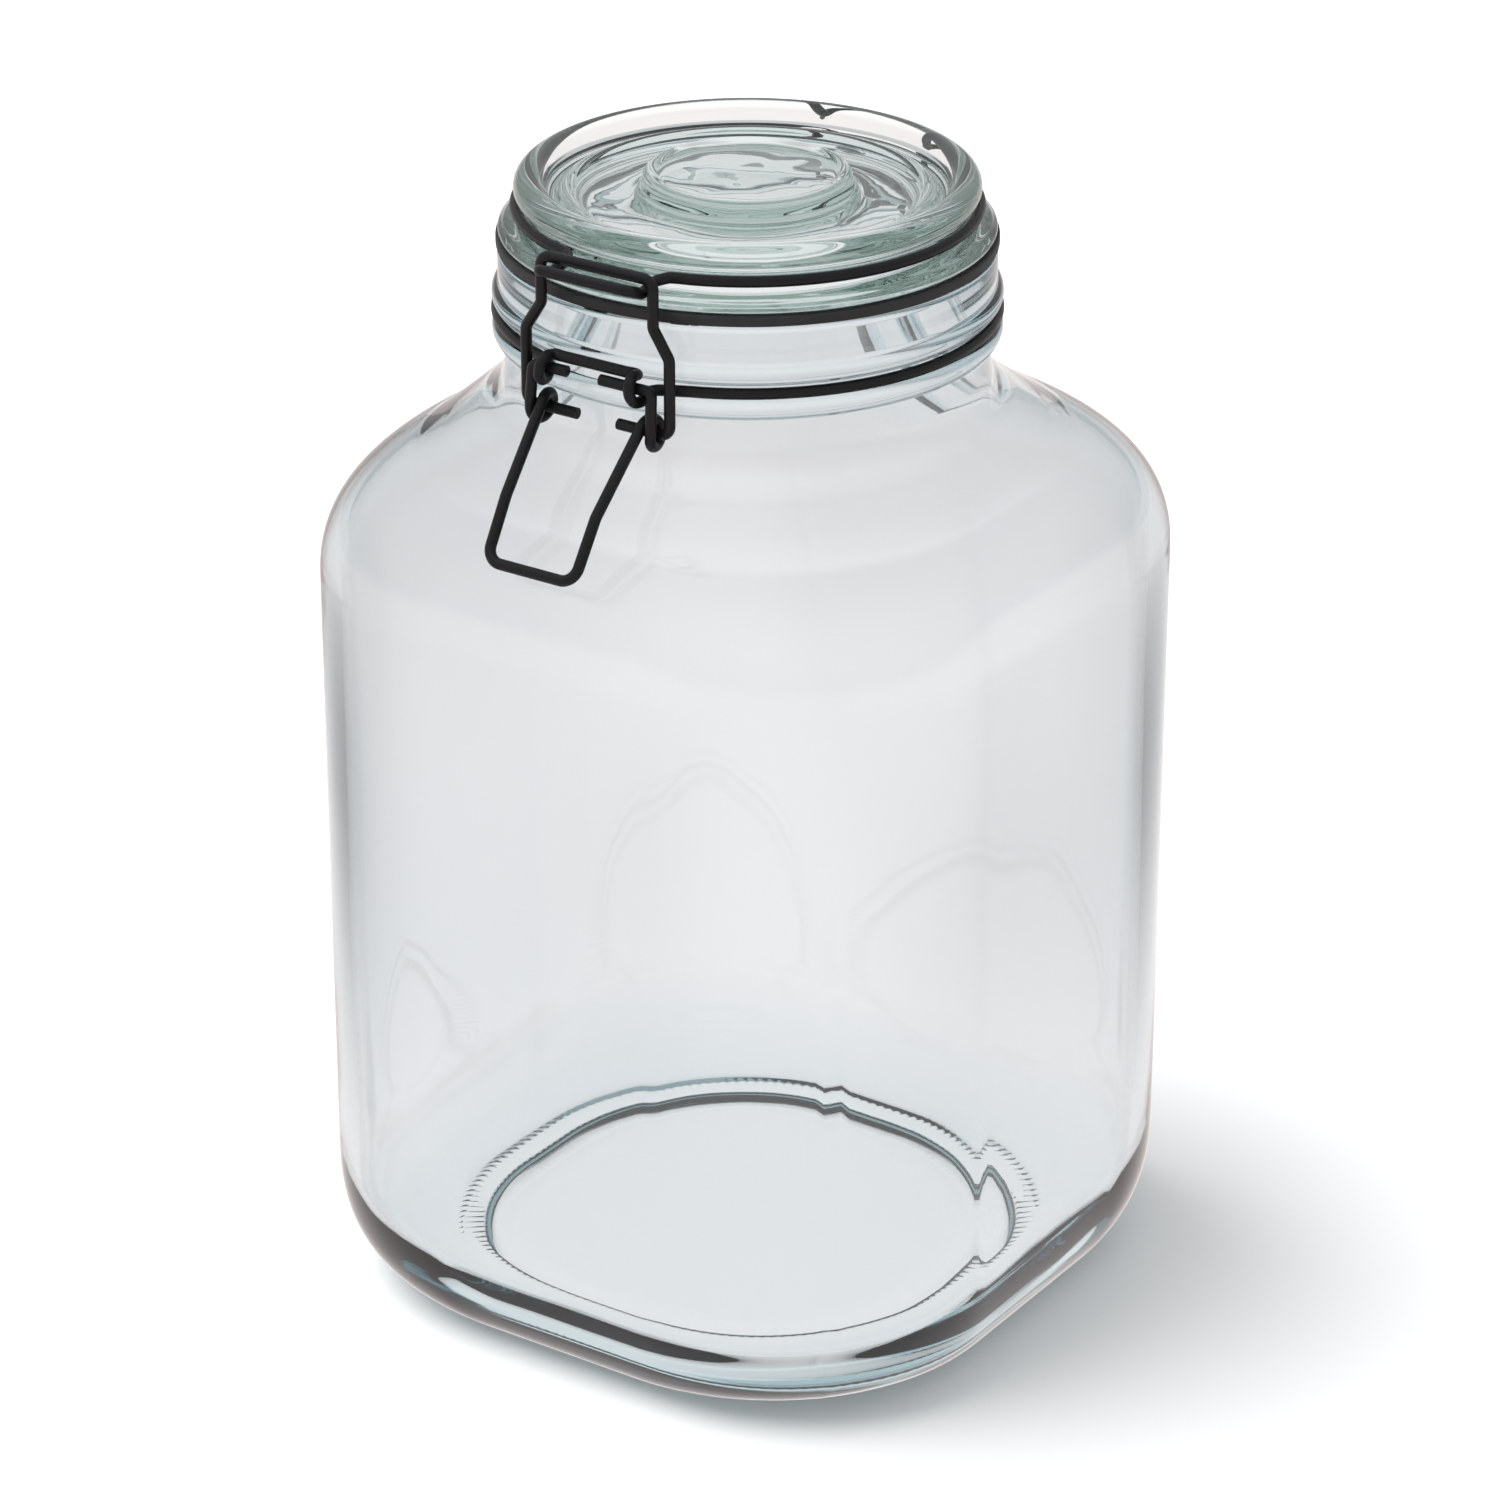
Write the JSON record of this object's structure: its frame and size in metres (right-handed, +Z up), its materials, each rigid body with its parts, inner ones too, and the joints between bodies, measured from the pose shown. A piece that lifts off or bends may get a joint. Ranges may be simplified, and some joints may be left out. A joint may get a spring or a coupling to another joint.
{
  "type": "bail clamp jar",
  "caption": "Square-shouldered clear glass storage jar with a hinged glass lid, rubber gasket and bent-wire bail clamp.",
  "frame": {"origin": "middle of the base, on the surface that the jar stands on", "axes": "+Z up along the jar's axis, -Y towards the clasp, +Y towards the lid's hinge, X along the hinge"},
  "size_m": [0.1668, 0.1668, 0.263],
  "materials": {
    "jar_glass": "clear pressed glass with a slight grey-green tint",
    "lid_glass": "clear pressed glass, green at the edges",
    "black_rubber": "matte black",
    "black_wire": "satin black powder coat"
  },
  "bodies": {
    "jar": {"jar_body": "jar_glass", "neck_wire": "black_wire"},
    "lid_assembly": {"lid": "lid_glass", "gasket": "black_rubber", "lid_wire": "black_wire"},
    "lever": {"lever": "black_wire"},
    "yoke": {"yoke": "black_wire"}
  },
  "joints": [
    {"name": "lid_hinge", "type": "hinge", "parent": "jar", "child": "lid_assembly", "pos_m": [0, 0.0588, 0.2334], "axis": [-1, 0, 0], "range_deg": [0, 110]},
    {"name": "lever_pivot", "type": "hinge", "parent": "jar", "child": "lever", "pos_m": [0, -0.0588, 0.2334], "axis": [-1, 0, 0], "range_deg": [0, 130]},
    {"name": "yoke_pivot", "type": "hinge", "parent": "lever", "child": "yoke", "pos_m": [0, -0.0567, 0.2234], "axis": [-1, 0, 0], "range_deg": [-104, 0]}
  ],
  "couplings": [
    {"joint": "yoke_pivot", "follows": "lever_pivot", "ratio": -0.8}
  ]
}
